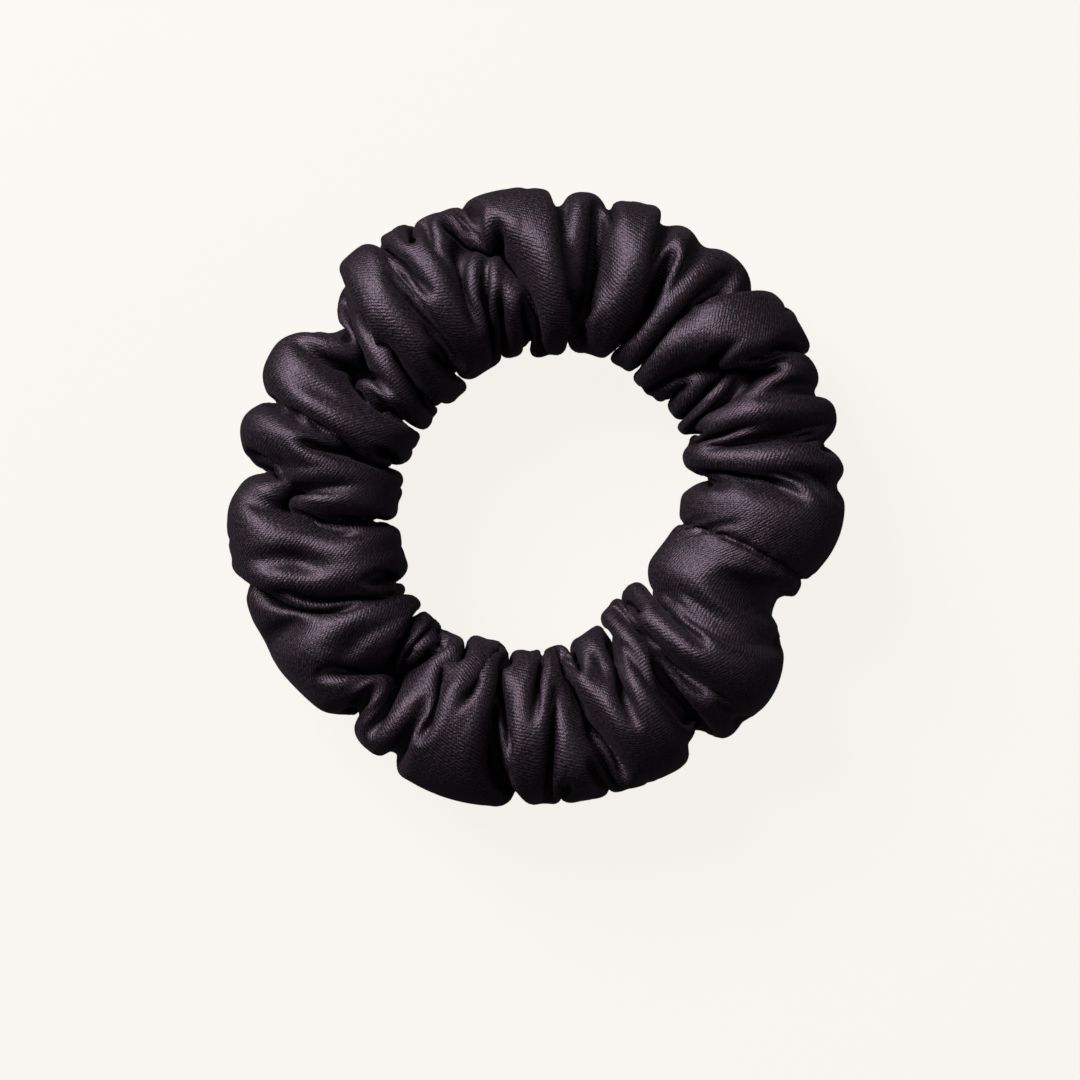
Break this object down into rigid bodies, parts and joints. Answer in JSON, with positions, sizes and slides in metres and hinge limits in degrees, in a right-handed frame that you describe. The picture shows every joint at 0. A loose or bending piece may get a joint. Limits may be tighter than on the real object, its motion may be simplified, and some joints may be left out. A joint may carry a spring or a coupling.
{
  "type": "hair scrunchie",
  "caption": "Small round satin scrunchie: a gathered cloth sleeve on a flat braided elastic loop that stretches open to hold hair.",
  "frame": {"origin": "middle of the ring, on the surface that it rests on", "axes": "+Z is the ring's axis, up from the surface; +X points from the middle to the half with the closing seam, the way that half moves when the loop is pulled open"},
  "size_m": [0.0862, 0.0856, 0.0205],
  "materials": {
    "satin": "black satin with a faint plum cast, soft sheen on the folds",
    "elastic_yarn": "matt braided polyester yarn, black",
    "rubber": "natural rubber, dull",
    "thread": "spun polyester sewing thread, black, slight sheen"
  },
  "bodies": {
    "left_half": {"satin_cover_left": "satin", "elastic_braid_left": "elastic_yarn", "elastic_cores_left": "rubber", "long_seam_needle_thread_left": "thread", "long_seam_bobbin_thread_left": "thread"},
    "right_half": {"satin_cover_right": "satin", "elastic_braid_right": "elastic_yarn", "elastic_cores_right": "rubber", "long_seam_needle_thread_right": "thread", "long_seam_bobbin_thread_right": "thread", "closing_seam_needle_thread": "thread", "closing_seam_bobbin_thread": "thread", "elastic_join_needle_thread": "thread", "elastic_join_bobbin_thread": "thread"}
  },
  "joints": [
    {"name": "stretch", "type": "slide", "parent": "left_half", "child": "right_half", "axis": [1, 0, 0], "range_m": [0, 0.06], "stiffness_N_per_m": 60}
  ]
}
